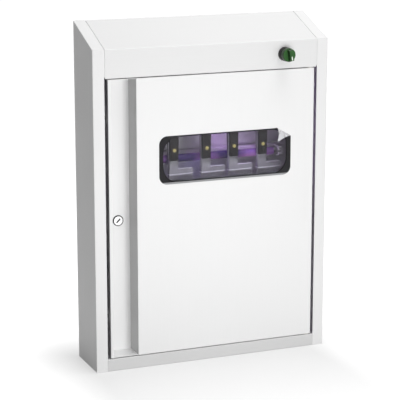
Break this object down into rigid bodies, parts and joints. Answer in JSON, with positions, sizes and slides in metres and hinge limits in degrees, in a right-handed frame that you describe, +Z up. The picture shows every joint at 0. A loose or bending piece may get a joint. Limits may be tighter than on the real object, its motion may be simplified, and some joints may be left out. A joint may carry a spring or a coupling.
{
  "type": "ultraviolet knife steriliser cabinet",
  "caption": "Slim folded stainless wall cabinet with sloping roof, hinged door with grip channel, cam lock and window, lamp switch, and knives on a magnetic bar beside an ultraviolet tube.",
  "frame": {"origin": "middle of the flat underside of the base", "axes": "+X to the right seen from the front, +Y to the back, towards the wall, +Z up"},
  "size_m": [0.518, 0.15, 0.69],
  "materials": {
    "stainless": "fine brushed, 1 mm sheet",
    "stainless_door": "fine brushed, 1 mm sheet",
    "zinc_steel": "bright zinc",
    "lock_chrome": "polished",
    "nylon": "moulded",
    "rubber_black": "matt",
    "clear_pane": "clear sheet",
    "smoked_film": "smoked film",
    "switch_black": "fine satin",
    "knob_green": "moulded",
    "pointer_pale": "inlay",
    "contact_grey": "moulded",
    "quartz_glass": "clear tube, violet discharge",
    "lamp_cap": "spun",
    "holder_white": "moulded",
    "ferrite": "pressed",
    "ballast_steel": "grey enamel",
    "knife_steel": "ground and polished",
    "handle_black": "satin scales",
    "rivet_brass": "polished"
  },
  "bodies": {
    "cabinet": {"left_side_panel": "stainless", "right_side_panel": "stainless", "header_roof_panel": "stainless", "floor_pan": "stainless", "back_panel": "stainless", "joint_strips_left": "stainless", "joint_strips_right": "stainless", "compartment_shelf": "stainless", "strike_bracket": "stainless", "door_stops": "stainless", "lamp_batten": "stainless", "magnet_bar": "stainless", "bar_brackets": "stainless", "hinge_pins": "zinc_steel", "selector_nut": "zinc_steel", "door_bumpers": "rubber_black", "selector_collar": "switch_black", "cable_gland_body": "switch_black", "cable_gland_dome": "switch_black", "cable_gland_nut": "switch_black", "selector_contacts": "contact_grey", "reed_switch": "contact_grey", "uv_tube": "quartz_glass", "uv_tube_caps": "lamp_cap", "lamp_holder_left": "holder_white", "lamp_holder_right": "holder_white", "starter": "holder_white", "starter_socket": "holder_white", "terminal_block": "holder_white", "magnet_core": "ferrite", "ballast": "ballast_steel"},
    "door": {"door_skin": "stainless_door", "channel_ends": "stainless_door", "door_bushes": "nylon", "window_pane": "clear_pane", "window_gasket": "rubber_black", "pane_frame": "stainless", "pane_studs": "zinc_steel", "pane_nuts": "zinc_steel", "window_film": "smoked_film", "lock_housing": "lock_chrome", "lock_nut": "zinc_steel", "door_magnet": "contact_grey"},
    "lock": {"lock_plug": "lock_chrome", "lock_cam": "zinc_steel", "cam_screw": "zinc_steel"},
    "selector": {"selector_knob": "knob_green", "selector_pointer": "pointer_pale"},
    "knife_1": {"knife_1_blade": "knife_steel", "knife_1_scales": "handle_black", "knife_1_rivets": "rivet_brass"},
    "knife_2": {"knife_2_blade": "knife_steel", "knife_2_scales": "handle_black", "knife_2_rivets": "rivet_brass"},
    "knife_3": {"knife_3_blade": "knife_steel", "knife_3_scales": "handle_black", "knife_3_rivets": "rivet_brass"},
    "knife_4": {"knife_4_blade": "knife_steel", "knife_4_scales": "handle_black", "knife_4_rivets": "rivet_brass"}
  },
  "joints": [
    {"name": "door_hinge", "type": "hinge", "parent": "cabinet", "child": "door", "pos_m": [0.214, -0.0495, 0.307], "axis": [0, 0, 1], "range_deg": [0, 105]},
    {"name": "lock_turn", "type": "hinge", "parent": "door", "child": "lock", "pos_m": [-0.1866, 0, 0.2969], "axis": [0, 1, 0], "range_deg": [0, 90]},
    {"name": "selector_turn", "type": "hinge", "parent": "cabinet", "child": "selector", "pos_m": [0.154, -0.0615, 0.618], "axis": [0, -1, 0], "range_deg": [0, 90]},
    {"name": "knife_1_lift", "type": "slide", "parent": "cabinet", "child": "knife_1", "axis": [0, 0, 1], "range_m": [0, 0.045]},
    {"name": "knife_2_lift", "type": "slide", "parent": "cabinet", "child": "knife_2", "axis": [0, 0, 1], "range_m": [0, 0.045]},
    {"name": "knife_3_lift", "type": "slide", "parent": "cabinet", "child": "knife_3", "axis": [0, 0, 1], "range_m": [0, 0.045]},
    {"name": "knife_4_lift", "type": "slide", "parent": "cabinet", "child": "knife_4", "axis": [0, 0, 1], "range_m": [0, 0.045]}
  ]
}
